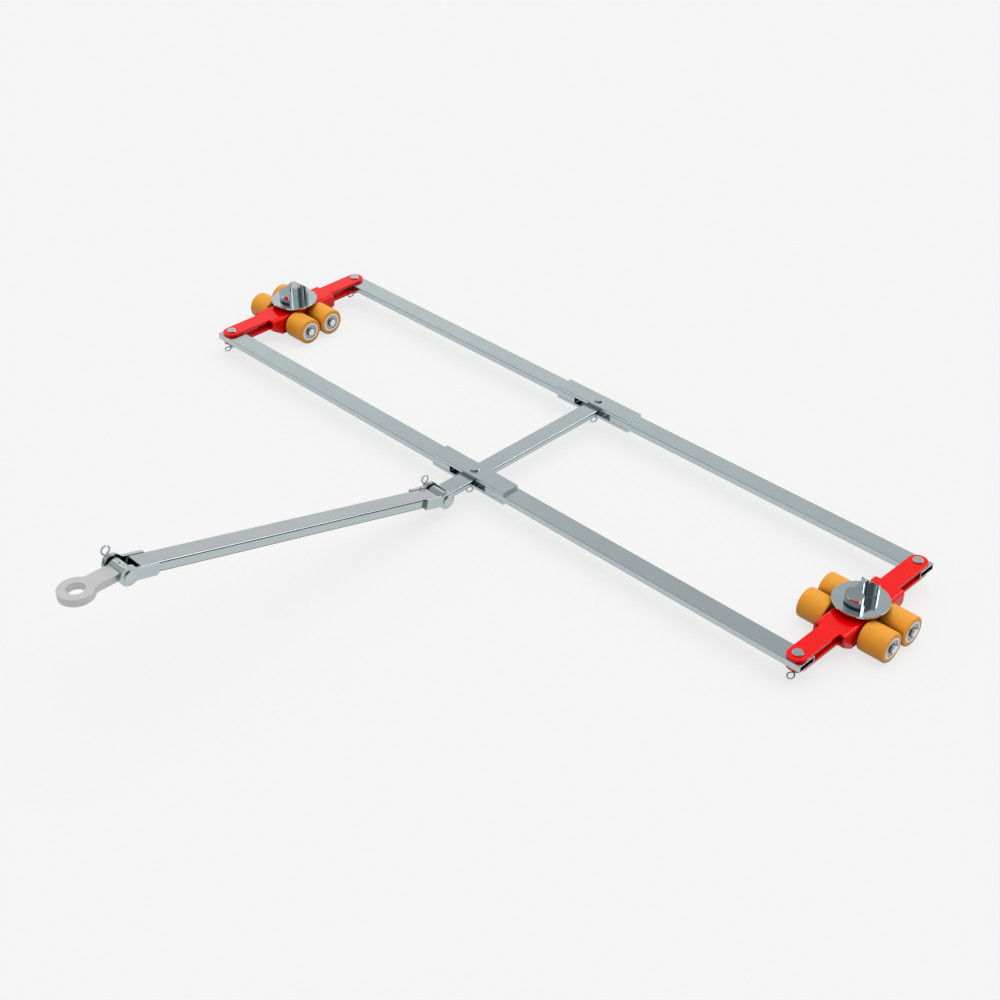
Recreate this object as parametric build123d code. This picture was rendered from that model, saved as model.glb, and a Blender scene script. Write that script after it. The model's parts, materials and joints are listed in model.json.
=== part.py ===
from build123d import *
import math
import os

# Steerable moving skate set for a freight container. Two four-roller skates stand under the container's
# bottom corner castings. Two long bars hold them apart, and a crossbar pinned to the middle of both bars
# turns the skates together when the drawbar pulls it sideways.
# Millimetres. X runs along the long bars, Y along the crossbar away from the towing eye, Z up from the
# floor. The origin is on the floor, in the middle of the set's outline.

# Linkage
SKATE_SPACING = 2259.0  # between turntable centres, as a container's bottom corner castings
BAR_SPACING = 525.0  # between the two link pins of a skate
BAR_Z = 60.7  # middle of the bars above the floor

# Clearances, on the radius of a pin or on one side of a flat piece
RUNNING = 0.1  # a pin in a bore that turns on it
SEATED = 0.05  # a pin in the plates that carry it
LOOSE = 0.4  # the rear link pins, where the loop of links closes
FORK_GAP = 0.3  # a bar tube between the fork arms
WINDOW_GAP = 0.5  # the crossbar between the bar plates

# Pins and spring clips
PIN_R = 10.0
PIN_HEAD_R = 15.0
PIN_HEAD_T = 4.4
PIN_HEAD_CHAMFER = 1.2
PIN_TIP_Z = 20.7
PIN_TIP_CHAMFER = 1.5
WIRE_R = 2.2
WIRE_SIDES = 6
LINK_RING_R = 9.4  # rings of the standing pins' clips and of the hinge pins' clips
HINGE_RING_R = 11.4
CLIP_BEND_R = 3.5  # small bends where the ring runs into the legs
CLIP_NECK = 5.2  # between the wire's centre lines at the neck
CLIP_LEG = 15.0  # straight leg past the pin's axis
CLIP_SIDE_GAP = 0.5  # outer leg to the pin's side
CLIP_LEG_BEND_R = 2.5
CLIP_SHOULDER = 1.8  # straight stretch of the outer leg beside the neck
CLIP_SEAT_START = 8.2  # the outer leg's stretch along the pin, and its turned-out tip
CLIP_SEAT_END = -6.0
CLIP_TIP = -11.0
CLIP_TIP_RISE = 2.5
CLIP_HOLE_R = 2.8
LINK_CLIP_NECK_AT = 13.5  # pin axis to the neck
LINK_CLIP_Z = 31.0  # where the leg crosses the pin's axis
LINK_CLIP_DROOP = 20.0  # degrees that the ring hangs below level
HINGE_CLIP_NECK_AT = 16.5

# Long bars: two flat tubes joined by an upper and a lower flat bar
TUBE_W = 60.0
TUBE_H = 20.0
TUBE_WALL = 2.5
TUBE_ROUND = 1.5
TUBE_PAST_PIN = 30.0
WINDOW_HALF = 72.5  # half the gap between the inner tube ends
PLATE_T = 10.0
PLATE_HALF = 143.0
PLATE_ROUND = 1.5

# Crossbar
CROSS_W = 57.0
CROSS_H = TUBE_H - 2 * WINDOW_GAP
CROSS_WALL = 3.0
CROSS_ROUND = 4.5
CROSS_PLUG_L = 20.0  # block in the front end that carries the hinge bush
CROSS_PAST_REAR_PIN = 28.0
HINGE_OVERHANG = 143.0  # drawbar hinge ahead of the front pivot pin

# Drawbar and its hinges
DRAWBAR_LENGTH = 1050.0  # hinge to hinge
DRAWBAR_PITCH = 16.0  # degrees up from level, as drawn
DRAWBAR_W = 58.0
DRAWBAR_H = 30.0
DRAWBAR_WALL = 3.5
DRAWBAR_ROUND = 6.0
REAR_END_GAP = 30.0  # hinge axis to the tube's rear end
FRONT_END_GAP = 37.0
BUSH_R = 19.0
BUSH_L = 49.0
BUSH_SEAT = 22.3  # hinge axis to the crossbar's square end
EAR_T = 10.0
EAR_R = 26.0
EAR_HALF_H = 15.0
REAR_EAR_REACH = 80.0
REAR_EAR_NECK_R = 4.0
FRONT_EAR_REACH = 84.0
FRONT_EAR_NECK_R = 20.0
FRONT_EAR_CORNER_R = 10.0
HINGE_PIN_TIP = 58.0  # pin tip from the drawbar's middle plane
HINGE_CLIP_X = 51.0
GREASE_HOLE_R = 2.5

# Towing eye
EYE_REACH = 120.0  # front hinge to the centre of the ring
EYE_R = 45.0
EYE_HOLE_R = 22.5
EYE_T = 20.0
EYE_CHAMFER = 0.8
SHANK_W = 50.0
SHANK_NECK_R = 12.0

# Skate frame: folded hub with two fork arms at each end
STEEL_T = 8.0
HUB_W = 95.0
HUB_HALF_L = 130.0
HUB_BEND_R = 11.0
HUB_BOTTOM = 19.7
HUB_SLANT = 36.0  # length of the cut-off lower corner along Y
ARM_W = 55.5
ARM_ROUND = 2.0
LOWER_ARM_INNER = 72.0  # inner end of a lower arm from the hub's middle

# Rollers
ROLLER_R = 42.5
ROLLER_L = 80.0
ROLLER_INNER_X = 53.0
AXLE_SPACING = 90.0
AXLE_R = 11.0
AXLE_HALF_L = 141.0
AXLE_CHAMFER = 1.5
TYRE_ROUND = 5.0
SHOULDER_STEPS = 3
CORE_R = 30.0
CORE_BORE_R = 21.0
BEARING_R = 25.0
BEARING_W = 14.0
BEARING_INSET = 1.5
RACE_T = 3.5  # radial thickness of a bearing's two races
SHIELD_INSET = 0.8
SPACER_R = 14.5
RING_T = 1.8  # retaining ring in its axle groove
RING_R = 13.5
RING_GROOVE_R = 10.3
RING_OPENING = 7.0

# Turntable and corner lock
BOSS_R = 45.0
BOSS_H = 14.7
THRUST_GAP = 0.3
KING_PIN_R = 12.5
KING_PIN_L = 38.0
NUT_ACROSS = 36.0
NUT_H = 12.0
NUT_GAP = 0.5
DISC_R = 75.0
DISC_T = 6.0
DISC_ROUND = 5.0  # upper edge
DISC_CHAMFER = 0.8  # lower edge
LOCK_H = 59.0  # top of the lug above the disc
LOCK_SEAT = 3.0  # depth of the recess that the lug is let into
LOCK_END_R = 49.0  # the lug's two ends are round about the turntable's axis
LOCK_END_H = 26.0
LOCK_W = 52.0
LOCK_TOP_L = 16.0  # flat stretch of the top, before it slopes to the ends
LOCK_TOP_R = 6.0
LOCK_WEB = 12.0  # left between the two side pockets
LOCK_POCKET_L = 59.0
LOCK_POCKET_R = 20.0
LOCK_CORNER_R = 3.0

# Derived levels
PLATE_TOP = BAR_Z + TUBE_H / 2 + PLATE_T
ARM_TOP = BAR_Z + TUBE_H / 2 + FORK_GAP + STEEL_T
ARM_UNDER = ARM_TOP - STEEL_T
LOWER_ARM_TOP = BAR_Z - TUBE_H / 2 - FORK_GAP
LOWER_ARM_UNDER = LOWER_ARM_TOP - STEEL_T
AXLE_Z = ROLLER_R
BOSS_TOP = ARM_TOP + BOSS_H
DISC_UNDER = BOSS_TOP + THRUST_GAP
DISC_TOP = DISC_UNDER + DISC_T

# Derived places, counted from the middle between the four link pins
SKATE_X = SKATE_SPACING / 2
FRONT_Y = -BAR_SPACING / 2
REAR_Y = BAR_SPACING / 2
HINGE_Y = FRONT_Y - HINGE_OVERHANG
PITCH = math.radians(DRAWBAR_PITCH)
FRONT_HINGE_Y = HINGE_Y - DRAWBAR_LENGTH * math.cos(PITCH)
FRONT_HINGE_Z = BAR_Z + DRAWBAR_LENGTH * math.sin(PITCH)
EYE_Y = FRONT_HINGE_Y - EYE_REACH
OUTLINE_MIDDLE_Y = (EYE_Y - EYE_R + REAR_Y + TUBE_W / 2) / 2

# Side view of the drawbar: first axis forward along the bar, second axis up
SIDE = Plane(origin=(0, 0, 0), x_dir=(0, -1, 0), z_dir=(-1, 0, 0))
DRAWBAR_PLACE = Pos(0, HINGE_Y, BAR_Z) * Rot(X=-DRAWBAR_PITCH)

os.makedirs("parts", exist_ok=True)


def save(name, *solids):
    """Write the solids of one node, moved so that the origin is in the middle of the outline."""
    moved = [Pos(0, -OUTLINE_MIDDLE_Y, 0) * solid for solid in solids]
    shape = moved[0] if len(moved) == 1 else Compound(moved)
    export_step(shape, os.path.join("parts", name + ".step"))


def box_tube(width, height, wall, corner_r):
    """Section of a rectangular tube with rounded corners, square inside where the wall is that thick."""
    bore = Rectangle(width - 2 * wall, height - 2 * wall)
    if corner_r > wall:
        bore = fillet(bore.vertices(), corner_r - wall)
    return RectangleRounded(width, height, corner_r) - bore


def upright(radius, low, high):
    """Round bar along Z between two heights."""
    return Pos(0, 0, (low + high) / 2) * Cylinder(radius, high - low)


def crosswise(radius, low, high):
    """Round bar along X between two places."""
    return Pos((low + high) / 2, 0, 0) * Rot(Y=90) * Cylinder(radius, high - low)


def ring_along_x(inner_r, outer_r, low, high):
    """Plain ring or sleeve on the X axis."""
    return crosswise(outer_r, low, high) - crosswise(inner_r, low - 1, high + 1)


def headed_pin(length, clip_plane):
    """Pin hanging from its head at the origin, with a cross hole for its spring clip."""
    head = upright(PIN_HEAD_R, 0, PIN_HEAD_T)
    head = chamfer(head.edges().group_by(Axis.Z)[-1], PIN_HEAD_CHAMFER)
    shank = upright(PIN_R, -length, 0)
    shank = chamfer(shank.edges().group_by(Axis.Z)[0], PIN_TIP_CHAMFER)
    hole = clip_plane * crosswise(CLIP_HOLE_R, -2 * PIN_R, 2 * PIN_R)
    return head + shank - hole


def spring_clip(neck_at, ring_r):
    """Wire clip in the XY plane: leg through the pin at the origin, ring along +X, outer leg beside it."""
    middle = CLIP_NECK / 2
    lean = math.asin((middle + CLIP_BEND_R) / (ring_r + CLIP_BEND_R))
    ring_at = neck_at + (ring_r + CLIP_BEND_R) * math.cos(lean)
    lean = math.degrees(lean)
    side = PIN_R + WIRE_R + CLIP_SIDE_GAP
    outer_leg = FilletPolyline(
        (neck_at, CLIP_NECK),
        (neck_at - CLIP_SHOULDER, CLIP_NECK),
        (CLIP_SEAT_START, side),
        (CLIP_SEAT_END, side),
        (CLIP_TIP, side + CLIP_TIP_RISE),
        radius=CLIP_LEG_BEND_R,
    )
    wire = Wire(
        [
            Line((-CLIP_LEG, 0), (neck_at, 0)),
            CenterArc((neck_at, -CLIP_BEND_R), CLIP_BEND_R, 90, lean - 90),
            CenterArc((ring_at, middle), ring_r, 180 + lean, 360 - 2 * lean),
            CenterArc((neck_at, CLIP_NECK + CLIP_BEND_R), CLIP_BEND_R, -lean, lean - 90),
            *outer_leg.edges(),
        ]
    )
    start = Plane(origin=(-CLIP_LEG, 0, 0), z_dir=(1, 0, 0))
    return sweep(start * RegularPolygon(WIRE_R, WIRE_SIDES), path=wire)


def upright_clip_plane(height):
    """Plane of a standing pin's clip, at the height where its leg crosses the pin, ring to the front."""
    droop = math.radians(LINK_CLIP_DROOP)
    towards_ring = (0, -math.cos(droop), -math.sin(droop))
    upwards = (0, -math.sin(droop), math.cos(droop))
    return Plane(origin=(0, 0, height), x_dir=towards_ring, z_dir=upwards)


def standing_pin(head_z):
    return headed_pin(head_z - PIN_TIP_Z, upright_clip_plane(LINK_CLIP_Z - head_z))


def standing_clip():
    return upright_clip_plane(LINK_CLIP_Z) * spring_clip(LINK_CLIP_NECK_AT, LINK_RING_R)


def bar_tube(side, pin_clearance):
    """One half of a long bar, from the window to past the link pin, on the side given as -1 or 1."""
    length = SKATE_X + TUBE_PAST_PIN - WINDOW_HALF
    section = Plane.YZ * box_tube(TUBE_W, TUBE_H, TUBE_WALL, TUBE_ROUND)
    tube = Pos(side * (WINDOW_HALF + length / 2), 0, BAR_Z) * extrude(section, length / 2, both=True)
    bore = Pos(side * SKATE_X, 0, 0) * upright(PIN_R + pin_clearance, 0, PLATE_TOP)
    return tube - bore


def bar_plate(low):
    """Flat bar over or under the two tubes of a long bar, with its underside at the given height."""
    section = Plane.YZ * RectangleRounded(TUBE_W, PLATE_T, PLATE_ROUND)
    plate = Pos(0, 0, low + PLATE_T / 2) * extrude(section, PLATE_HALF, both=True)
    return plate - upright(PIN_R + SEATED, low - 1, low + PLATE_T + 1)


def long_bar(name, y, pin_clearance):
    place = Pos(0, y, 0)
    save(name + "_tube_left", place * bar_tube(-1, pin_clearance))
    save(name + "_tube_right", place * bar_tube(1, pin_clearance))
    save(name + "_upper_plate", place * bar_plate(BAR_Z + TUBE_H / 2))
    save(name + "_lower_plate", place * bar_plate(BAR_Z - TUBE_H / 2 - PLATE_T))
    save(name + "_pivot_pin", place * Pos(0, 0, PLATE_TOP) * standing_pin(PLATE_TOP))
    save(name + "_pivot_clip", place * standing_clip())


def hinge_bush():
    """Barrel that turns on a hinge pin between two ears."""
    return ring_along_x(PIN_R + RUNNING, BUSH_R, -BUSH_L / 2, BUSH_L / 2)


def crossbar():
    """Tube from behind the rear pivot pin, bored for both pivot pins, with a plug that meets the bush."""
    rear_end = REAR_Y + CROSS_PAST_REAR_PIN
    front_end = HINGE_Y + BUSH_SEAT
    section = Plane.XZ * box_tube(CROSS_W, CROSS_H, CROSS_WALL, CROSS_ROUND)
    tube = extrude(section, (rear_end - front_end) / 2, both=True)
    tube = Pos(0, (rear_end + front_end) / 2, BAR_Z) * tube
    tube += Pos(0, front_end, BAR_Z) * Box(CROSS_W - 2 * CROSS_WALL, CROSS_PLUG_L, CROSS_H - 2 * CROSS_WALL)
    for y in (FRONT_Y, REAR_Y):
        tube -= Pos(0, y, 0) * upright(PIN_R + RUNNING, 0, PLATE_TOP)
    return tube - Pos(0, HINGE_Y, BAR_Z) * crosswise(BUSH_R, -CROSS_W, CROSS_W)


def drawbar_tube():
    length = DRAWBAR_LENGTH - REAR_END_GAP - FRONT_END_GAP
    section = Plane.XZ * box_tube(DRAWBAR_W, DRAWBAR_H, DRAWBAR_WALL, DRAWBAR_ROUND)
    tube = extrude(section, length / 2, both=True)
    return DRAWBAR_PLACE * Pos(0, -REAR_END_GAP - length / 2, 0) * tube


def ear_pair(outline, hinge_at):
    """Two ear plates of the given side outline, against both sides of the drawbar tube."""
    outline -= Pos(hinge_at, 0) * Circle(PIN_R + SEATED)
    plate = extrude(SIDE * outline, EAR_T)
    outer = DRAWBAR_W / 2 + EAR_T
    return [DRAWBAR_PLACE * Pos(x, 0, 0) * plate for x in (outer, -DRAWBAR_W / 2)]


def rear_ears():
    strip = Pos(REAR_EAR_REACH / 2, 0) * Rectangle(REAR_EAR_REACH, 2 * EAR_HALF_H)
    outline = Circle(EAR_R) + strip
    necks = outline.vertices().filter_by_position(Axis.X, 0, REAR_EAR_REACH / 2)
    return ear_pair(fillet(necks, REAR_EAR_NECK_R), 0)


def front_ears():
    strip = Pos(-FRONT_EAR_REACH / 2, 0) * Rectangle(FRONT_EAR_REACH, 2 * EAR_HALF_H)
    outline = Circle(EAR_R) + strip
    necks = outline.vertices().filter_by_position(Axis.X, -FRONT_EAR_REACH / 2, 0)
    outline = fillet(necks, FRONT_EAR_NECK_R)
    lower_corner = outline.vertices().group_by(Axis.X)[0].sort_by(Axis.Y)[0]
    outline = fillet(lower_corner, FRONT_EAR_CORNER_R)
    return ear_pair(Pos(DRAWBAR_LENGTH, 0) * outline, DRAWBAR_LENGTH)


def hinge_places():
    """The two hinge axes, in the frame of the whole set."""
    return [Pos(0, HINGE_Y, BAR_Z), Pos(0, FRONT_HINGE_Y, FRONT_HINGE_Z)]


def hinge_pin():
    """Pin along X with its head outside the near ear and its clip outside the far one."""
    head_x = DRAWBAR_W / 2 + EAR_T
    lying = Plane(origin=(head_x, 0, 0), x_dir=(0, 0, 1), z_dir=(1, 0, 0))
    clip_plane = Plane(origin=(0, 0, -head_x - HINGE_CLIP_X))
    return lying * headed_pin(head_x + HINGE_PIN_TIP, clip_plane)


def hinge_clip():
    upright_plane = Plane(origin=(-HINGE_CLIP_X, 0, 0), x_dir=(0, 0, 1), z_dir=(1, 0, 0))
    return upright_plane * spring_clip(HINGE_CLIP_NECK_AT, HINGE_RING_R)


def towing_eye():
    """Flat ring with a shank that ends against the round of its bush."""
    shank = Pos(0, EYE_REACH / 2) * Rectangle(SHANK_W, EYE_REACH)
    outline = Circle(EYE_R) + shank
    necks = outline.vertices().filter_by_position(Axis.Y, 0, EYE_R)
    outline = fillet(necks, SHANK_NECK_R)
    plate = extrude(outline, EYE_T / 2, both=True)
    rims = plate.faces().filter_by(Axis.Z).edges()
    free_rims = rims.filter_by_position(Axis.Y, -EYE_R, EYE_REACH - 1)
    plate = chamfer(free_rims, EYE_CHAMFER)
    plate -= Cylinder(EYE_HOLE_R, 2 * EYE_T)
    plate -= Pos(0, EYE_REACH, 0) * crosswise(BUSH_R, -SHANK_W, SHANK_W)
    return Pos(0, EYE_Y, FRONT_HINGE_Z) * plate


def eye_bush():
    grease_hole = upright(GREASE_HOLE_R, 0, 2 * BUSH_R)
    return Pos(0, FRONT_HINGE_Y, FRONT_HINGE_Z) * (hinge_bush() - grease_hole)


def fork_outline():
    """Plan of a fork plate from link pin to link pin, with round ends."""
    return Rot(Z=90) * SlotCenterToCenter(BAR_SPACING, ARM_W)


def skate_frame():
    """Plate folded into an open hub, with the upper fork arms running on from its top."""
    height = ARM_TOP - HUB_BOTTOM
    outer = Pos(0, HUB_BOTTOM + height / 2) * Rectangle(HUB_W, height)
    outer = fillet(outer.vertices().group_by(Axis.Y)[-1], HUB_BEND_R)
    inner = Pos(0, HUB_BOTTOM + height / 2 - STEEL_T) * Rectangle(HUB_W - 2 * STEEL_T, height)
    inner = fillet(inner.vertices().group_by(Axis.Y)[-1], HUB_BEND_R - STEEL_T)
    hub = extrude(Plane.XZ * (outer - inner), HUB_HALF_L, both=True)
    for end in (-1, 1):
        corner = make_face(
            Polyline(
                (end * HUB_HALF_L, LOWER_ARM_UNDER),
                (end * (HUB_HALF_L - HUB_SLANT), HUB_BOTTOM),
                (end * HUB_HALF_L, HUB_BOTTOM),
                close=True,
            )
        )
        hub -= extrude(Plane.YZ * corner, HUB_W, both=True)
    arms = Pos(0, 0, ARM_UNDER) * extrude(fork_outline(), STEEL_T)
    arms = fillet(arms.faces().sort_by(Axis.Z)[-1].edges(), ARM_ROUND)
    frame = hub + arms
    for end in (-1, 1):
        frame -= Pos(0, end * BAR_SPACING / 2, 0) * upright(PIN_R + SEATED, 0, 2 * ARM_TOP)
        frame -= Pos(0, end * AXLE_SPACING / 2, AXLE_Z) * crosswise(AXLE_R + SEATED, -HUB_W, HUB_W)
    return frame - upright(KING_PIN_R + RUNNING, 0, 2 * ARM_TOP)


def lower_arms():
    """Lower fork plates, each widened inside the hub to meet its side walls."""
    inner_l = HUB_HALF_L - LOWER_ARM_INNER
    arms = []
    for end in (-1, 1):
        half = Pos(0, end * BAR_SPACING / 2) * Rectangle(HUB_W, BAR_SPACING - 2 * HUB_HALF_L + 2 * inner_l)
        root = Pos(0, end * (LOWER_ARM_INNER + inner_l / 2)) * Rectangle(HUB_W - 2 * STEEL_T, inner_l)
        outline = (fork_outline() & half) + root
        outline -= Pos(0, end * BAR_SPACING / 2) * Circle(PIN_R + SEATED)
        arms.append(Pos(0, 0, LOWER_ARM_UNDER) * extrude(outline, STEEL_T))
    return arms


def axle():
    """Rod through both hub walls, grooved near its ends for the retaining rings."""
    rod = crosswise(AXLE_R, -AXLE_HALF_L, AXLE_HALF_L)
    rod = chamfer(rod.edges().filter_by(GeomType.CIRCLE), AXLE_CHAMFER)
    for low, high in retaining_ring_spans():
        rod -= ring_along_x(RING_GROOVE_R, 2 * AXLE_R, low, high)
    return rod


def retaining_ring_spans():
    """Where the retaining rings sit on an axle, just outside the outer bearings."""
    inner = ROLLER_INNER_X + ROLLER_L - BEARING_INSET
    return [(inner, inner + RING_T), (-inner - RING_T, -inner)]


def retaining_ring(low, high):
    gap = Pos((low + high) / 2, 0, RING_R) * Box(2 * RING_T, RING_OPENING, 2 * RING_R)
    return ring_along_x(RING_GROOVE_R, RING_R, low, high) - gap


def bearing_spans(side):
    """Low and high X of the inner and the outer bearing of a roller."""
    inner = ROLLER_INNER_X + BEARING_INSET
    outer = ROLLER_INNER_X + ROLLER_L - BEARING_INSET - BEARING_W
    spans = [(at, at + BEARING_W) for at in (inner, outer)]
    return spans if side > 0 else [(-high, -low) for low, high in spans]


def spacers():
    """Rings on an axle between the hub's walls and the inner bearings."""
    high = ROLLER_INNER_X + BEARING_INSET
    spacer = ring_along_x(AXLE_R + SEATED, SPACER_R, HUB_W / 2, high)
    return [spacer, Rot(Z=180) * spacer]


def bearing(low, high):
    """Ball bearing with a shield set in between its races at the face away from the hub."""
    face = max(low, high, key=abs)
    shield = ring_along_x(AXLE_R + RACE_T, BEARING_R - RACE_T, face - SHIELD_INSET, face + SHIELD_INSET)
    return ring_along_x(AXLE_R + SEATED, BEARING_R, low, high) - shield


def tyre():
    """Polyurethane tread cast on the core, its shoulders rounded in conical steps."""
    turns = [math.pi / 2 * step / SHOULDER_STEPS for step in range(SHOULDER_STEPS + 1)]
    shoulder = [(TYRE_ROUND * (1 - math.sin(t)), TYRE_ROUND * (1 - math.cos(t))) for t in turns]
    low = ROLLER_INNER_X
    high = ROLLER_INNER_X + ROLLER_L
    profile = [(high, CORE_R), (low, CORE_R)]
    profile += [(low + along, ROLLER_R - drop) for along, drop in reversed(shoulder)]
    profile += [(high - along, ROLLER_R - drop) for along, drop in shoulder]
    return revolve(make_face(Polyline(*profile, close=True)), Axis.X)


def roller_core():
    """Hub of a roller, with a seat for a bearing at each end."""
    low = ROLLER_INNER_X
    high = ROLLER_INNER_X + ROLLER_L
    core = ring_along_x(CORE_BORE_R, CORE_R, low, high)
    (_, inner_high), (outer_low, _) = bearing_spans(1)
    core -= crosswise(BEARING_R + SEATED, low - 1, inner_high + SEATED)
    return core - crosswise(BEARING_R + SEATED, outer_low - SEATED, high + 1)


def king_pin():
    """Turntable spindle down through the boss, held by a lock nut under the hub's top."""
    pin = upright(KING_PIN_R, DISC_UNDER - KING_PIN_L, DISC_UNDER)
    nut = extrude(RegularPolygon(NUT_ACROSS / 2, 6, major_radius=False), NUT_H)
    nut -= upright(KING_PIN_R + SEATED, -1, NUT_H + 1)
    return [pin, Pos(0, 0, ARM_UNDER - NUT_GAP - NUT_H) * nut]


def pivot_boss():
    return upright(BOSS_R, ARM_TOP, BOSS_TOP) - upright(KING_PIN_R + RUNNING, 0, 2 * BOSS_TOP)


def lock_plan():
    """Plan of the corner lock: two round-ended heads with a web between a pocket on each side."""
    plan = Circle(LOCK_END_R) & Rectangle(LOCK_W, 2 * LOCK_END_R)
    pocket = RectangleRounded(LOCK_W, LOCK_POCKET_L, LOCK_POCKET_R)
    for side in (-1, 1):
        plan -= Pos(side * (LOCK_WEB + LOCK_W) / 2, 0) * pocket
    corners = plan.vertices().group_by(Axis.X)
    return fillet(corners[0] + corners[-1], LOCK_CORNER_R)


def corner_lock():
    """Lug that stands in a corner casting's bottom hole, its top sloping from the middle to both ends."""
    lug = extrude(lock_plan(), LOCK_SEAT + LOCK_H)
    side_view = make_face(
        Polyline(
            (-LOCK_END_R, 0),
            (-LOCK_END_R, LOCK_SEAT + LOCK_END_H),
            (-LOCK_TOP_L / 2, LOCK_SEAT + LOCK_H),
            (LOCK_TOP_L / 2, LOCK_SEAT + LOCK_H),
            (LOCK_END_R, LOCK_SEAT + LOCK_END_H),
            (LOCK_END_R, 0),
            close=True,
        )
    )
    side_view = fillet(side_view.vertices().group_by(Axis.Y)[-1], LOCK_TOP_R)
    lug &= extrude(Plane.YZ * side_view, LOCK_W, both=True)
    return Pos(0, 0, DISC_TOP - LOCK_SEAT) * lug


def turntable_disc():
    """Disc with a rounded upper edge and a recess for the foot of the corner lock."""
    disc = upright(DISC_R, DISC_UNDER, DISC_TOP)
    disc = fillet(disc.edges().group_by(Axis.Z)[-1], DISC_ROUND)
    disc = chamfer(disc.edges().group_by(Axis.Z)[0], DISC_CHAMFER)
    return disc - Pos(0, 0, DISC_TOP - LOCK_SEAT) * extrude(lock_plan(), 2 * LOCK_SEAT)


def skate(name, x):
    place = Pos(x, 0, 0)
    axle_places = [place * Pos(0, end * AXLE_SPACING / 2, AXLE_Z) for end in (-1, 1)]
    pin_places = [place * Pos(0, end * BAR_SPACING / 2, 0) for end in (-1, 1)]
    save(name + "_skate_frame", place * skate_frame())
    save(name + "_lower_arms", *[place * arm for arm in lower_arms()])
    save(name + "_axles", *[at * axle() for at in axle_places])
    fittings = spacers() + [retaining_ring(low, high) for low, high in retaining_ring_spans()]
    save(name + "_axle_fittings", *[at * piece for at in axle_places for piece in fittings])
    spans = bearing_spans(-1) + bearing_spans(1)
    save(name + "_bearings", *[at * bearing(low, high) for at in axle_places for low, high in spans])
    save(name + "_link_pins", *[at * Pos(0, 0, ARM_TOP) * standing_pin(ARM_TOP) for at in pin_places])
    save(name + "_link_clips", *[at * standing_clip() for at in pin_places])
    save(name + "_pivot_boss", place * pivot_boss())
    save(name + "_king_pin", *[place * piece for piece in king_pin()])
    save(name + "_turntable_disc", place * turntable_disc())
    save(name + "_corner_lock", place * corner_lock())
    for row, at in zip(("front", "rear"), axle_places):
        for side, turn in (("left", 180), ("right", 0)):
            roller = f"{name}_{row}_{side}"
            save(roller + "_tyre", at * Rot(Z=turn) * tyre())
            save(roller + "_core", at * Rot(Z=turn) * roller_core())


long_bar("front", FRONT_Y, RUNNING)
long_bar("rear", REAR_Y, LOOSE)
save("crossbar", crossbar())
save("crossbar_bush", Pos(0, HINGE_Y, BAR_Z) * hinge_bush())
save("drawbar_tube", drawbar_tube())
save("drawbar_rear_ears", *rear_ears())
save("drawbar_front_ears", *front_ears())
save("hinge_pins", *[at * hinge_pin() for at in hinge_places()])
save("hinge_clips", *[at * hinge_clip() for at in hinge_places()])
save("towing_eye", towing_eye())
save("eye_bush", eye_bush())
skate("left", -SKATE_X)
skate("right", SKATE_X)
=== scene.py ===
import json
import math

import bpy
from bpy.props import FloatProperty, FloatVectorProperty, PointerProperty
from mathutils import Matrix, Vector


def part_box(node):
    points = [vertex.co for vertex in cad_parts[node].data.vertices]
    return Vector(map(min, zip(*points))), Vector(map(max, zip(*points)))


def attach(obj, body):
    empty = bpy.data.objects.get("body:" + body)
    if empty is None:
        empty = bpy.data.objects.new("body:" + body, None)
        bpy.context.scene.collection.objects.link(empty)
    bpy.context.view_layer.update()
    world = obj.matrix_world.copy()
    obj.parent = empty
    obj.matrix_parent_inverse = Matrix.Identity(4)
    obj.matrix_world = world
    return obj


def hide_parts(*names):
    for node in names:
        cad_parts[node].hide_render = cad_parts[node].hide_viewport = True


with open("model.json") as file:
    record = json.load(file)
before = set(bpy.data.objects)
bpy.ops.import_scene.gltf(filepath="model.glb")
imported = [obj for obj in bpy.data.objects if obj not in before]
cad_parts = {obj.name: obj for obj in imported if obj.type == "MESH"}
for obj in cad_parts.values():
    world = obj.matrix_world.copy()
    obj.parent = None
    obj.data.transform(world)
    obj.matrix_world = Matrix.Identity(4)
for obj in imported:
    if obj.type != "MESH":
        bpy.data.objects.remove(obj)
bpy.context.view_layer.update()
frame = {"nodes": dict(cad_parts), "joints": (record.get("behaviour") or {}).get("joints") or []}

bl_info = {
    "name": "Container Moving Skate",
    "version": (1, 0, 0),
    "blender": (4, 5, 0),
    "location": "3D View > Sidebar > Moving Skate",
    "description": "Finishes the steerable skate set, turns its discs, bends its clips and sets the studio",
    "category": "Object",
}

NODES = frame["nodes"]
JOINTS = {joint["name"]: joint for joint in frame["joints"]}
MM = 0.001

QUARTER_TURN = math.pi / 2

# stretches over which one tone of a finish turns into another
NOISE_STRETCH = (0.3, 0.7)  # most of a noise
CLOUD_STRETCH = (0.35, 0.65)  # most of a noise, for clouds with clearer edges
WEAR_STRETCH = (0.5, 0.75)  # the upper part of a noise
LEVEL_STRETCH = (0.3, 0.7)  # from upright faces, which take a painted shade, to level ones
EDGE_REFLECTION_START = (0.15, 0.27)  # from upright faces to the round edges between them and level ones, where a painted dark reflection lies
EDGE_REFLECTION_END = (0.60, 0.72)  # from those edges to level faces, over which that painted reflection fades out
EDGE_TURN = (1.0, 0.80)  # cosines of the turn at an eased edge, from none of its wear to all of it
FOOT_SHADE_FADE = (5.0 * MM, 7.0 * MM)  # heights over which the painted shade line at a lug's foot fades out
FOOT_REACH = (28 * MM, 32 * MM)  # from a lug's middle, where that painted shade line starts
FOOT_WALL = (0.25, 0.5)  # from a lug's flanks to its ends, where that painted shade line shows
PLATE_FADE = 1.0 * MM  # over which the painted dark reflection on the tubes' edges fades in beside the plates

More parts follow.
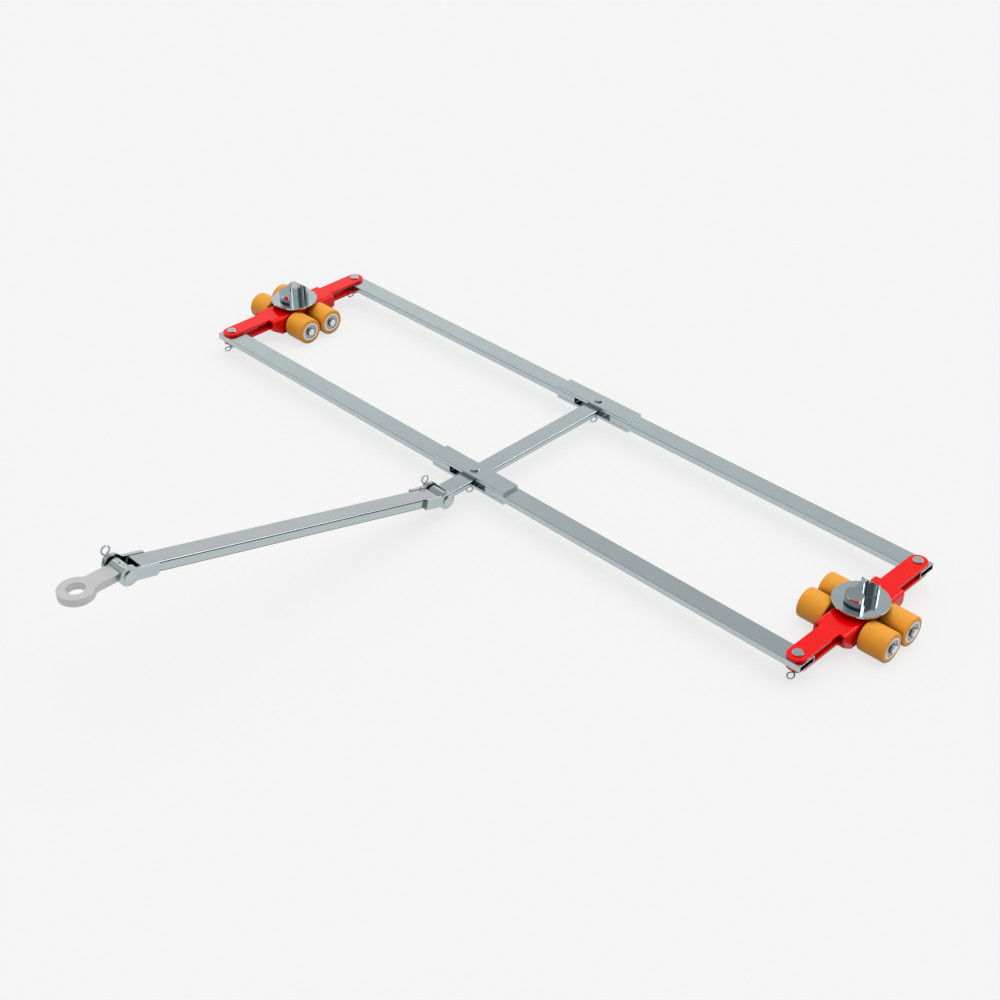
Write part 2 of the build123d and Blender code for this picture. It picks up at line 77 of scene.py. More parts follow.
SPANGLE = 0.10  # how far single crystals stand out in the bloom of the dipped zinc
ZINC_SPREAD = 0.03  # in the roughness of the dipped zinc, up and down
BRIGHT_SPREAD = 0.02  # in the roughness of the plated zinc, up and down
HOLLOW_SHADE = (0.01, 0.01, 0.01)  # painted shade deep inside the tubes
EDGE_WEAR = 0.6  # share of worn paint on the edges
OXIDE_WEAR = 0.03  # how much paler the black pieces are where they are rubbed
EDGE_SAMPLES = 4  # rays that look for an edge
HOLLOW_SAMPLES = 8  # rays that look for a hollow

DISC_SHARP = math.radians(30.0)  # turn from which an edge of the discs is drawn sharp
WIRE_STEP = math.radians(8.0)  # between the points of a wire's round stretches
WIRE_STEPS_LEAST = 3  # in a short round stretch
WIRE_SECTION = 4  # resolution of the wire's round section

SENSOR_WIDTH = 36.0  # of the camera, in millimetres
CAMERA_REACH = 200.0  # how far the camera sees
STRIP_SIZE = (8.2, 15.0)  # width and height of the strip light
STRIP_AWAY = 30.0  # from the set to the strip light
FLOOR_REACH = 60.0  # from the set to the edges of the floor
FLOOR_BOUNCE = 0.25  # share of the floor's own tone in the light that it gives back
FLOOR_SHADOW = 0.22  # share of the floor that takes the set's shadow, over the even backdrop
# the ceiling's share over the pale walls, by the sine of the angle above the horizon
CEILING_FADE = (
    (0.45, 0.0),
    (0.52, 0.11),
    (0.58, 0.36),
    (0.64, 0.56),
    (0.70, 0.70),
    (0.80, 0.81),
    (0.84, 0.80),
    (0.92, 0.35),
    (1.0, 0.25),
)
# cosines of the angles from the middle of a patch of the studio between which it fades in
BLIND_REACH = (0.72, 0.84)
NEAR_WALL_REACH = (0.58, 0.74)
GLOW_REACH = (0.976, 0.996)
ZENITH_REACH = (0.86, 0.95)

SIDES = ("left", "right")
ROWS = ("front", "rear")
BARS = ("front", "rear")


def colour(name, description, default):
    """A colour that a user may change."""
    return FloatVectorProperty(
        name=name, description=description, default=default, size=3, min=0.0, max=1.0, subtype="COLOR"
    )


def length(name, description, default):
    """A size that a user may change, in metres."""
    return FloatProperty(
        name=name, description=description, default=default, min=0.0, precision=4, unit="LENGTH"
    )


def angle(name, description, degrees):
    """An angle that a user may change."""
    return FloatProperty(name=name, description=description, default=math.radians(degrees), unit="ROTATION")


def share(name, description, default):
    """A number between nothing and all."""
    return FloatProperty(
        name=name, description=description, default=default, min=0.0, max=1.0, subtype="FACTOR"
    )


def brightness(name, description, default):
    """The strength of a light, or of a place that is only mirrored."""
    return FloatProperty(name=name, description=description, default=default, min=0.0)


class SkateFinishes(bpy.types.PropertyGroup):
    """Colours and gloss of the set."""

    zinc: colour("Galvanised steel", "Dipped zinc of bars, crossbar, ears and bushes", (0.53, 0.605, 0.62))
    # zinc and painted reflection: the drawbar's top tone is tinted to stand for the walls that it mirrors
    drawbar_zinc_and_reflection: colour("Drawbar zinc", "Dipped zinc on top of the drawbar's tube", (0.475, 0.51, 0.525))
    zinc_bloom: share("Zinc bloom", "Tone of the darker bloom in the dipped zinc", 0.95)
    # painted shade: the zinc on upright faces is darkened to stand for the light that falls less on them
    zinc_side_shade: share("Zinc sides", "Tone of the dipped zinc on upright faces", 0.90)
    # painted reflection: tones of the dark lines painted along the round edges of bars, ears, crossbar and
    # drawbar
    bar_edge_reflection: share("Bar edges", "Tone of the dipped zinc on the edges of the long bars", 0.45)
    draw_edge_reflection: share("Drawbar edges", "Tone of the dipped zinc on the edges of crossbar and drawbar", 0.15)
    zinc_roughness: share("Galvanised roughness", "How matt the dipped zinc is", 0.16)
    bright_zinc: colour("Bright zinc", "Plated discs, lock lugs and pins", (0.52, 0.595, 0.61))
    # painted shade: a dark line where the lock lugs meet the discs
    foot_shade: share("Foot line", "Tone of the dark line at the foot of the lock lugs", 0.12)
    bright_roughness: share("Bright zinc roughness", "How matt the plated discs and lugs are", 0.09)
    wire_zinc: colour("Wire zinc", "Plated spring wire of the clips", (0.72, 0.78, 0.80))
    eye_steel: colour("Towing eye steel", "Plain grey steel of the towing eye", (0.645, 0.645, 0.645))
    paint: colour("Frame paint", "Gloss paint of the skate frames", (1.0, 0.0, 0.0))
    paint_worn: colour("Worn paint", "Paint rubbed thin along the edges", (0.90, 0.05, 0.045))
    tread: colour("Polyurethane", "Cast tread of the rollers", (1.0, 0.415, 0.022))
    tread_dark: colour("Aged polyurethane", "Deeper tone in the tread", (0.95, 0.37, 0.018))
    # partly painted shade: the bearings' steel tone is also darkened to stand for the shade in the cores'
    # recess
    bearing_steel: colour("Bearing steel", "Ground rings and shields of the bearings", (0.46, 0.46, 0.47))
    king_pin_steel: colour("King pin steel", "Turned pins under the discs", (0.74, 0.75, 0.78))
    core_steel: colour("Core steel", "Bright turned cores of the rollers", (0.80, 0.81, 0.85))
    axle_steel: colour("Axle steel", "Drawn axles of the rollers", (0.86, 0.87, 0.88))
    black_oxide: colour("Black oxide", "Retaining rings and spacers", (0.012, 0.013, 0.014))


class SkateSizes(bpy.types.PropertyGroup):
    """Sizes of the wire clips and of the discs' edge."""

    wire: length("Clip wire", "Radius of the wire", 2.7 * MM)
    link_ring: length("Standing clip's ring", "Radius of the ring at the middle of the wire", 9.4 * MM)
    hinge_ring: length("Hinge clip's ring", "Radius of the ring at the middle of the wire", 11.4 * MM)
    bend: length("Clip bends", "Radius of the bends beside the ring", 3.5 * MM)
    neck: length("Clip neck", "Space between the wire's middles at the neck", 5.2 * MM)
    leg: length("Clip leg", "Straight leg past the middle of the pin", 15 * MM)
    shoulder: length("Clip shoulder", "Straight stretch of the outer leg beside the neck", 1.8 * MM)
    outer_leg: length("Outer leg", "Middle of the outer leg from the middle of the pin", 12.7 * MM)
    outer_bend: length("Outer leg bends", "Radius of the bends of the outer leg", 2.5 * MM)
    seat_start: length("Seat start", "Where the outer leg begins to lie along the pin", 8.2 * MM)
    seat_end: length("Seat end", "Where the outer leg turns away again", 6.0 * MM)
    tip: length("Tip", "How far the outer leg's tip reaches past the pin's middle", 11.0 * MM)
    tip_rise: length("Tip rise", "How far the outer leg's tip turns out", 2.5 * MM)
    link_neck: length("Standing clip's neck", "Neck from the middle of a standing pin", 13.5 * MM)
    hinge_neck: length("Hinge clip's neck", "Neck from the middle of a hinge pin", 16.5 * MM)
    above_tip: length("Standing clip's height", "Clip hole above the tip of a standing pin", 10.3 * MM)
    inside_tip: length("Hinge clip's place", "Clip hole from the tip of a hinge pin", 7.0 * MM)
    droop: angle("Droop", "How far a standing clip's ring hangs below level", 20.0)
    disc_edge: length("Disc edge", "Depth over which the discs' upper edge is turned sharp", 5.0 * MM)


class SkateStage(bpy.types.PropertyGroup):
    """Studio round the set."""

    backdrop: colour("Backdrop", "Pale surroundings of the set", (0.92, 0.92, 0.92))
    ceiling: colour("Ceiling", "Darker ceiling, only mirrored", (0.28, 0.28, 0.29))
    blind: colour("Blind", "Dark blind over the camera, only mirrored", (0.15, 0.16, 0.17))
    blind_height: angle("Blind height", "Angle of the blind's middle above the horizon", 55.0)
    blind_side: angle("Blind side", "Angle of the blind's middle round the set, from +X", -10.0)
    near_wall: colour("Near wall", "Dimmer wall behind the camera, only mirrored", (0.44, 0.45, 0.46))
    near_wall_height: angle("Near wall height", "Angle of its middle above the horizon", 20.0)
    near_wall_side: angle("Near wall side", "Angle of its middle round the set, from +X", -95.0)
    zenith: brightness("Zenith", "Mirrored brightness straight overhead, as a share of the backdrop", 0.78)
    glow: brightness("Glow", "Mirrored brightness of a soft lamp, as a share of the backdrop", 1.45)
    glow_height: angle("Glow height", "Angle of the soft lamp above the horizon", 38.0)
    glow_side: angle("Glow side", "Angle of the soft lamp round the set, from +X", 168.0)
    floor: colour("Floor", "Pale floor", (0.94, 0.94, 0.94))
    sky: brightness("Sky", "Strength of the soft light from all round", 0.60)
    key: brightness("Key light", "Strength of the large soft key light", 1.27)
    key_size: angle("Key light size", "How wide the key light looks from the set", 75.0)
    key_height: angle("Key light height", "Angle of the key light above the horizon", 70.0)
    key_side: angle("Key light side", "Angle of the key light round the set, from +X", 85.0)
    strip: brightness("Strip light", "Glow of the strip light where it is mirrored", 3.4)
    strip_height: angle("Strip light height", "Angle of the strip light above the horizon", 41.0)
    strip_side: angle("Strip light side", "Angle of the strip light round the set, from +X", 63.1)
    camera_place: FloatVectorProperty(
        name="Camera place",
        description="Where the camera stands",
        default=(2.7473, -2.26444, 2.6685),
        subtype="TRANSLATION",
        unit="LENGTH",
    )
    lens: FloatProperty(name="Lens", description="Focal length", default=58.38, unit="CAMERA")
    elevation: angle("Camera height angle", "How far the camera looks down from level", 35.264)
    azimuth: angle("Camera side angle", "How far the camera is turned from looking along +Y", 45.0)


class Shader:
    """A material under construction, with short ways to add and join its nodes."""

    def __init__(self, name):
        self.material = bpy.data.materials.new(name)
        self.material.use_nodes = True
        self.tree = self.material.node_tree
        self.surface = self.tree.nodes["Principled BSDF"]
        self.place = self.add("TexCoord").outputs["Object"]

    def add(self, kind, **settings):
        """A new node of a kind, with its settings."""
        node = self.tree.nodes.new("ShaderNode" + kind)
        for key, value in settings.items():
            setattr(node, key, value)
        return node

    def join(self, source, target):
        """Lead an output of one node to an input of another."""
        self.tree.links.new(source, target)

    def stretched(self, scale):
        """Object coordinates scaled apart along the axes."""
        mapping = self.add("Mapping")
        mapping.inputs["Scale"].default_value = scale
        self.join(self.place, mapping.inputs["Vector"])
        return mapping.outputs["Vector"]

    def noise(self, scale, detail=3.0, place=None):
        """Soft noise, its scale in features to the metre."""
        node = self.add("TexNoise")
        node.inputs["Scale"].default_value = scale
        node.inputs["Detail"].default_value = detail
        self.join(place or self.place, node.inputs["Vector"])
        return node.outputs["Fac"]

    def spangle(self, scale):
        """Crystal cells of dipped zinc, each with its own tone."""
        node = self.add("TexVoronoi")
        node.inputs["Scale"].default_value = scale
        self.join(self.place, node.inputs["Vector"])
        grey = self.add("RGBToBW")
        self.join(node.outputs["Color"], grey.inputs["Color"])
        return grey.outputs["Val"]

    def band(self, source, low, high, to_low=0.0, to_high=1.0):
        """The source's stretch from low to high, spread over another stretch."""
        node = self.add("MapRange")
        node.inputs["From Min"].default_value = low
        node.inputs["From Max"].default_value = high
        node.inputs["To Min"].default_value = to_low
        node.inputs["To Max"].default_value = to_high
        self.join(source, node.inputs["Value"])
        return node.outputs["Result"]

    def mixed(self, share_of_b, a, b):
        """Colour a turning into colour b."""
        node = self.add("Mix", data_type="RGBA")
        self.join(share_of_b, node.inputs["Factor"])
        for socket, value in (("A_Color", a), ("B_Color", b)):
            target = next(i for i in node.inputs if i.identifier == socket)
            if isinstance(value, bpy.types.NodeSocket):
                self.join(value, target)
            else:
                target.default_value = (*value, 1.0)
        return next(o for o in node.outputs if o.identifier == "Result_Color")

    def spread(self, noise, low=0.0, high=1.0):
        """Most of a noise, spread from low to high."""
        return self.band(noise, *NOISE_STRETCH, low, high)

    def reckoned(self, operation, *sources):
        """One value or two, put through a calculation."""
        node = self.add("Math", operation=operation)
        for source, target in zip(sources, node.inputs):
            self.join(source, target)
        return node.outputs["Value"]

    def summed(self, a, b):
        """Two values added up."""
        return self.reckoned("ADD", a, b)

    def product(self, a, b):
        """Two values multiplied."""
        return self.reckoned("MULTIPLY", a, b)

    def part(self, vector, axis):
        """How far a vector goes along an axis."""
        split = self.add("SeparateXYZ")
        self.join(vector, split.inputs["Vector"])
        return split.outputs[axis]

    def reach(self, vector, axis):
        """How far a vector goes along an axis, either way."""
        return self.reckoned("ABSOLUTE", self.part(vector, axis))

    def facing(self, axis):
        """One on faces square to an axis, falling to nothing on those along it."""
        return self.reach(self.add("TexCoord").outputs["Normal"], axis)

    def eased(self, radius):
        """Directions of the surface, as if its edges were rounded to a radius."""
        bevel = self.add("Bevel", samples=EDGE_SAMPLES)
        bevel.inputs["Radius"].default_value = radius
        return bevel.outputs["Normal"]

    def edges(self, radius):
        """Nothing on flat faces, rising to one on edges."""
        dot = self.add("VectorMath", operation="DOT_PRODUCT")
        self.join(self.eased(radius), dot.inputs[0])
        self.join(self.add("NewGeometry").outputs["Normal"], dot.inputs[1])
        return self.band(dot.outputs["Value"], *EDGE_TURN)

    def clear_of_shade(self, distance, fade, alone=True):
        """Share left bare of painted shade: one in the open, falling to nothing deep inside hollows, the
        piece's own or all round it.
        """
        node = self.add("AmbientOcclusion", only_local=alone, samples=HOLLOW_SAMPLES)
        node.inputs["Distance"].default_value = distance
        return self.band(node.outputs["AO"], *fade)

    def relief(self, height, depth, strength, edge):
        """Bumps of the given depth, over edges that are eased by a radius."""
        bump = self.add("Bump")
        bump.inputs["Strength"].default_value = strength
        bump.inputs["Distance"].default_value = depth
        self.join(height, bump.inputs["Height"])
        self.join(self.eased(edge), bump.inputs["Normal"])
        self.join(bump.outputs["Normal"], self.surface.inputs["Normal"])

    def set(self, **values):
        """Values that are the same all over the surface, set on the shader's own sockets."""
        for key, value in values.items():
            self.surface.inputs[key.replace("_", " ")].default_value = value

    def colour_from(self, source):
        """The colour that the surface takes."""
        self.join(source, self.surface.inputs["Base Color"])

    def roughness_from(self, noise, low, high):
        """Roughness that follows a noise, from low to high."""
        self.join(self.spread(noise, low, high), self.surface.inputs["Roughness"])


def darker(tone, share_of_tone):
    """A colour taken down to a share of itself."""
    return [channel * share_of_tone for channel in tone]


def galvanised(finishes, name, zinc, edges=1.0, covered=0.0):
    """Dipped zinc: faint crystals and a cloudy bloom, with painted shade on upright faces and painted dark
    reflections on edges.

    Edges that plates cover, up to a distance from the set's middle, have no painted reflection. Hollows
    take a painted shade.
    """
    shader = Shader(name)
    crystals = shader.band(shader.spangle(160.0), 0.0, 1.0, -SPANGLE, SPANGLE)
    bloom = shader.summed(crystals, shader.spread(shader.noise(9.0, detail=4.0)))
    tops = shader.mixed(bloom, darker(zinc, finishes.zinc_bloom), zinc)
    # painted shade: upright faces take a darker copy of the zinc
    sides = darker(finishes.zinc, finishes.zinc_side_shade)
    level = shader.facing("Z")
    tone = shader.mixed(shader.band(level, *LEVEL_STRETCH), sides, tops)
    # painted reflection: a dark line along the round edges between upright and level faces, left off where
    # plates cover the tubes
    edge = shader.product(shader.band(level, *EDGE_REFLECTION_START), shader.band(level, *EDGE_REFLECTION_END, 1.0, 0.0))
    if covered:
        bare = shader.band(shader.reach(shader.place, "X"), covered, covered + PLATE_FADE)
        edge = shader.product(edge, bare)
    tone = shader.mixed(edge, tone, darker(finishes.zinc, edges))
    # painted shade: hollows are darkened towards the dark tone
    clear_of_shade = shader.clear_of_shade(distance=25 * MM, fade=(0.15, 0.45))
    shader.colour_from(shader.mixed(clear_of_shade, HOLLOW_SHADE, tone))
    rough = finishes.zinc_roughness
    shader.roughness_from(shader.noise(60.0), rough - ZINC_SPREAD, rough + ZINC_SPREAD)
    shader.relief(shader.noise(500.0, detail=2.0), depth=0.01 * MM, strength=0.3, edge=0.5 * MM)
    shader.set(Metallic=1.0)
    return shader.material


def foot_shade(shader, foot):
    """One low down on the ends of a lug whose foot is at the given place, where a painted shade line goes,
    and nothing elsewhere.
    """
    away = shader.add("VectorMath", operation="SUBTRACT")
    away.inputs[1].default_value = foot
    shader.join(shader.place, away.inputs[0])
    low = shader.band(shader.part(away.outputs["Vector"], "Z"), *FOOT_SHADE_FADE, 1.0, 0.0)
    end = shader.band(shader.reach(away.outputs["Vector"], "Y"), *FOOT_REACH)
    wall = shader.band(shader.facing("Y"), *FOOT_WALL)
    return shader.product(low, shader.product(end, wall))


def bright_zinc(finishes, name, foot=None):
    """Clear plated zinc, mirror-like, with a painted shade line along a foot at the given place."""
    shader = Shader(name)
    clouds = shader.band(shader.noise(35.0), *CLOUD_STRETCH)
    tone = shader.mixed(clouds, darker(finishes.bright_zinc, 0.96), finishes.bright_zinc)
    if foot is not None:
        dark = darker(finishes.bright_zinc, finishes.foot_shade)
        # painted shade along the lug's foot
        tone = shader.mixed(foot_shade(shader, foot), tone, dark)
    shader.colour_from(tone)
    rough = finishes.bright_roughness
    shader.roughness_from(shader.noise(150.0), rough - BRIGHT_SPREAD, rough + BRIGHT_SPREAD)
    shader.relief(shader.noise(900.0, detail=2.0), depth=0.002 * MM, strength=0.3, edge=1.2 * MM)
    shader.set(Metallic=1.0)
    return shader.material


def plated(name, zinc):
    """Plated pins or wire, a little softer than the discs."""
    shader = Shader(name)
    clouds = shader.band(shader.noise(160.0), *CLOUD_STRETCH)
    shader.colour_from(shader.mixed(clouds, darker(zinc, 0.94), zinc))
    shader.roughness_from(shader.noise(300.0), low=0.14, high=0.20)
    shader.relief(shader.noise(1200.0, detail=2.0), depth=0.002 * MM, strength=0.3, edge=0.5 * MM)
    shader.set(Metallic=1.0)
    return shader.material


def eye_steel(finishes):
    """Flame-cut steel of the towing eye, under a thin even primer."""
    shader = Shader("towing_eye_steel")
    clouds = shader.spread(shader.noise(40.0, detail=4.0))
    shader.colour_from(shader.mixed(clouds, darker(finishes.eye_steel, 0.95), finishes.eye_steel))
    shader.roughness_from(shader.noise(120.0), low=0.32, high=0.40)
    shader.relief(shader.noise(600.0), depth=0.02 * MM, strength=0.3, edge=0.8 * MM)
    shader.set(Metallic=0.5, Specular_IOR_Level=0.25)
    return shader.material


def frame_paint(finishes):
    """Gloss paint with a faint orange-peel and thin, paler edges, with painted shade in hollows and where
    other parts stand close.
    """
    shader = Shader("frame_paint")
    wear = shader.band(shader.edges(1.2 * MM), 0.0, 1.0, 0.0, EDGE_WEAR)
    clouds = shader.spread(shader.noise(14.0))
    tone = shader.mixed(clouds, darker(finishes.paint, 0.95), finishes.paint)
    # painted shade: darker paint in hollows and where other parts stand close
    clear_of_shade = shader.clear_of_shade(distance=30 * MM, fade=(0.25, 0.65), alone=False)
    tone = shader.mixed(clear_of_shade, darker(finishes.paint, 0.5), tone)
    shader.colour_from(shader.mixed(wear, tone, finishes.paint_worn))
    shader.roughness_from(shader.noise(45.0), low=0.10, high=0.14)
    shader.relief(shader.noise(420.0, detail=1.0), depth=0.03 * MM, strength=0.35, edge=0.9 * MM)
    shader.set(Specular_IOR_Level=0.30)
    return shader.material


def polyurethane(finishes):
    """Cast polyurethane with fine scuffs round the tread, with painted shade where the rollers stand close.
    """
    shader = Shader("polyurethane")
    clouds = shader.spread(shader.noise(30.0), low=0.3, high=0.9)
    scuffs = shader.noise(8.0, detail=4.0, place=shader.stretched((160.0, 4.0, 4.0)))
    fresh = shader.summed(clouds, shader.spread(scuffs, low=-0.12, high=0.12))
    tone = shader.mixed(fresh, finishes.tread_dark, finishes.tread)
    # painted shade: darker tread where the rollers stand close
    clear_of_shade = shader.clear_of_shade(distance=45 * MM, fade=(0.25, 0.75), alone=False)
    shader.colour_from(shader.mixed(clear_of_shade, darker(finishes.tread_dark, 0.3), tone))
    shader.roughness_from(scuffs, low=0.40, high=0.52)
    shader.relief(scuffs, depth=0.02 * MM, strength=0.4, edge=0.6 * MM)
    shader.set(Specular_IOR_Level=0.50)
    return shader.material


def turned_steel(name, steel):
    """Machined steel with fine tool marks round the rollers' axes."""
    shader = Shader(name)
    marks = shader.noise(10.0, place=shader.stretched((220.0, 30.0, 30.0)))
    shader.colour_from(shader.mixed(shader.spread(marks), darker(steel, 0.90), steel))
    shader.roughness_from(marks, low=0.28, high=0.36)
    shader.relief(marks, depth=0.01 * MM, strength=0.4, edge=0.4 * MM)
    shader.set(Metallic=0.7)
    return shader.material


def black_oxide(finishes):
    """Blackened spring steel, slightly oily."""
    shader = Shader("black_oxide")
    marks = shader.noise(200.0)
    worn = [channel + OXIDE_WEAR for channel in finishes.black_oxide]
    shader.colour_from(shader.mixed(shader.band(marks, *WEAR_STRETCH), finishes.black_oxide, worn))
    shader.roughness_from(marks, low=0.30, high=0.45)
    shader.relief(marks, depth=0.01 * MM, strength=0.4, edge=0.3 * MM)
    shader.set(Metallic=0.6)
    return shader.material


def dress(material, *names):
    """Give CAD nodes a finish."""
    for name in names:
        mesh = NODES[name].data
        mesh.materials.clear()
        mesh.materials.append(material)


class SKATE_OT_galvanised(bpy.types.Operator):
    """Finish the bars, the crossbar, the drawbar, the hinge bushes and the towing eye"""

    bl_idname = "skate.galvanised"
    bl_label = "Galvanised pieces"

    def execute(self, context):
        finishes = context.scene.skate_finishes
        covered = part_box("front_upper_plate")[1][0]
        tubes = galvanised(finishes, "bar_zinc", finishes.zinc, finishes.bar_edge_reflection, covered)
        plates = galvanised(finishes, "plate_zinc", finishes.zinc)
        for bar in BARS:
            dress(tubes, f"{bar}_tube_left", f"{bar}_tube_right")
            dress(plates, f"{bar}_upper_plate", f"{bar}_lower_plate")
        ears = galvanised(finishes, "ear_zinc", finishes.zinc, finishes.bar_edge_reflection)
        dress(ears, "drawbar_rear_ears", "drawbar_front_ears")
        bushes = galvanised(finishes, "bush_zinc", finishes.zinc)
        dress(bushes, "crossbar_bush", "eye_bush")
        crossbar = galvanised(finishes, "crossbar_zinc", finishes.zinc, finishes.draw_edge_reflection)
        dress(crossbar, "crossbar")
        # zinc whose top tone also holds a painted reflection of the walls
        drawbar = galvanised(finishes, "drawbar_zinc_and_reflection", finishes.drawbar_zinc_and_reflection, finishes.draw_edge_reflection)
        dress(drawbar, "drawbar_tube")
        dress(eye_steel(finishes), "towing_eye")
        return {"FINISHED"}


class SKATE_OT_painted(bpy.types.Operator):
    """Finish the skates' folded frames, lower arms and bosses"""

    bl_idname = "skate.painted"
    bl_label = "Painted frames"

    def execute(self, context):
        paint = frame_paint(context.scene.skate_finishes)
        for side in SIDES:
            dress(paint, f"{side}_skate_frame", f"{side}_lower_arms", f"{side}_pivot_boss")
        return {"FINISHED"}


def turned_disc(side, edge, finish):
    """A turntable's disc with its upper edge turned sharp."""
    node = f"{side}_turntable_disc"
    low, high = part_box(node)
    middle = ((low + high) / 2).xy
    inner = (high.x - low.x) / 2 - edge
    foot = high.z - edge
    mesh = NODES[node].data.copy()
    mesh.name = node + "_turned"
    mesh.transform(NODES[node].matrix_world)
    if "custom_normal" in mesh.attributes:
        mesh.attributes.remove(mesh.attributes["custom_normal"])
    for vertex in mesh.vertices:
        out = vertex.co.xy - middle
        run = out.length - inner
        rise = vertex.co.z - foot
        if run > 0.0 and rise > 0.0:
            # a point of the eased edge moves out until it lies on the disc's top or on its rim
            grow = edge / max(run, rise)
            vertex.co.xy = middle + out.normalized() * (inner + run * grow)
            vertex.co.z = foot + rise * grow
    mesh.set_sharp_from_angle(angle=DISC_SHARP)
    mesh.materials.clear()
    mesh.materials.append(finish)
    disc = bpy.data.objects.new(mesh.name, mesh)
    bpy.context.scene.collection.objects.link(disc)
    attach(disc, f"{side}_turntable")
    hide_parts(node)


class SKATE_OT_turntables(bpy.types.Operator):
    """Turn the discs' edges and finish the discs, lock lugs and king pins"""

    bl_idname = "skate.turntables"
    bl_label = "Turntables and corner locks"

    def execute(self, context):
        finishes = context.scene.skate_finishes
        bright = bright_zinc(finishes, "bright_zinc")
        # the feet of both lugs lie at one height and one depth, which is all that their painted shade line
        # needs
        lock = bright_zinc(finishes, "lock_zinc", JOINTS["left_turntable_spin"]["pos_m"])
        steel = turned_steel("king_pin_steel", finishes.king_pin_steel)
        for side in SIDES:
            dress(lock, f"{side}_corner_lock")
            dress(steel, f"{side}_king_pin")
            turned_disc(side, context.scene.skate_sizes.disc_edge, bright)
        return {"FINISHED"}


class SKATE_OT_rollers(bpy.types.Operator):
    """Finish the rollers, their cores, bearings and axles"""

    bl_idname = "skate.rollers"
    bl_label = "Rollers"

    def execute(self, context):
        finishes = context.scene.skate_finishes
        tread = polyurethane(finishes)
        # bearing steel whose tone also holds a painted shade of the recess
        steel = turned_steel("bearing_steel", finishes.bearing_steel)
        core = turned_steel("core_steel", finishes.core_steel)
        axle = turned_steel("axle_steel", finishes.axle_steel)
        black = black_oxide(finishes)
        for side in SIDES:
            dress(axle, f"{side}_axles")
            dress(black, f"{side}_axle_fittings")
            dress(steel, f"{side}_bearings")
            for row in ROWS:
                for place in SIDES:
                    dress(tread, f"{side}_{row}_{place}_tyre")
                    dress(core, f"{side}_{row}_{place}_core")
        return {"FINISHED"}


def arc(centre, radius, start, sweep):
    """Points along a round stretch of wire, from an angle and through a sweep in radians."""
    steps = max(WIRE_STEPS_LEAST, math.ceil(abs(sweep) / WIRE_STEP))
    turns = [start + sweep * i / steps for i in range(steps + 1)]
    return [Vector((centre[0] + radius * math.cos(t), centre[1] + radius * math.sin(t))) for t in turns]


def rounded(corners, radius):
    """Points of a bent line whose inner corners are eased to a radius."""
    points = [Vector(corners[0])]
    for before, corner, after in zip(corners, corners[1:], corners[2:]):
        corner = Vector(corner)
        back = (Vector(before) - corner).normalized()
        ahead = (Vector(after) - corner).normalized()
        half = back.angle(ahead) / 2
        centre = corner + (back + ahead).normalized() * radius / math.sin(half)
        first = corner + back * radius / math.tan(half) - centre
        last = corner + ahead * radius / math.tan(half) - centre
        sweep = math.atan2(first.x * last.y - first.y * last.x, first.dot(last))
        points += arc(centre, radius, math.atan2(first.y, first.x), sweep)
    return points + [Vector(corners[-1])]


def clip_wire(sizes, neck, ring):
    """Middle line of a clip lying flat: straight leg through the pin at the origin, ring, and outer leg."""
    lean = math.asin((sizes.neck / 2 + sizes.bend) / (ring + sizes.bend))
    ring_at = neck + (ring + sizes.bend) * math.cos(lean)
    outer_leg = [
        (neck, sizes.neck),
        (neck - sizes.shoulder, sizes.neck),
        (sizes.seat_start, sizes.outer_leg),
        (-sizes.seat_end, sizes.outer_leg),
        (-sizes.tip, sizes.outer_leg + sizes.tip_rise),
    ]
    points = [Vector((-sizes.leg, 0.0))]
    points += arc((neck, -sizes.bend), sizes.bend, QUARTER_TURN, lean - QUARTER_TURN)
    points += arc((ring_at, sizes.neck / 2), ring, math.pi + lean, 2 * (math.pi - lean))[1:-1]
    points += arc((neck, sizes.neck + sizes.bend), sizes.bend, -lean, lean - QUARTER_TURN)
    return points + rounded(outer_leg, sizes.outer_bend)[1:]


def wire_clips(node, body, wire_line, places, along, across, finish):
    """Round-wire clips in place of one node, each with its leg through a pin at one of the places."""
    data = bpy.data.curves.new(node + "_wire", "CURVE")
    data.dimensions = "3D"
    data.bevel_depth = bpy.context.scene.skate_sizes.wire
    data.bevel_resolution = WIRE_SECTION
    data.use_fill_caps = True
    for place in places:
        points = [Vector(place) + Vector(along) * p.x + Vector(across) * p.y for p in wire_line]
        spline = data.splines.new("POLY")
        spline.points.add(len(points) - 1)
        for point, target in zip(points, spline.points):
            target.co = (*point, 1.0)
    data.materials.append(finish)
    clip = bpy.data.objects.new(node + "_wire", data)
    bpy.context.scene.collection.objects.link(clip)
    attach(clip, body)
    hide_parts(node)


class SKATE_OT_pins(bpy.types.Operator):
    """Finish the link, pivot and hinge pins"""

    bl_idname = "skate.pins"
    bl_label = "Pins"

    def execute(self, context):
        pin = plated("plated_pin", context.scene.skate_finishes.bright_zinc)
        dress(pin, "front_pivot_pin", "rear_pivot_pin", "left_link_pins", "right_link_pins", "hinge_pins")
        return {"FINISHED"}


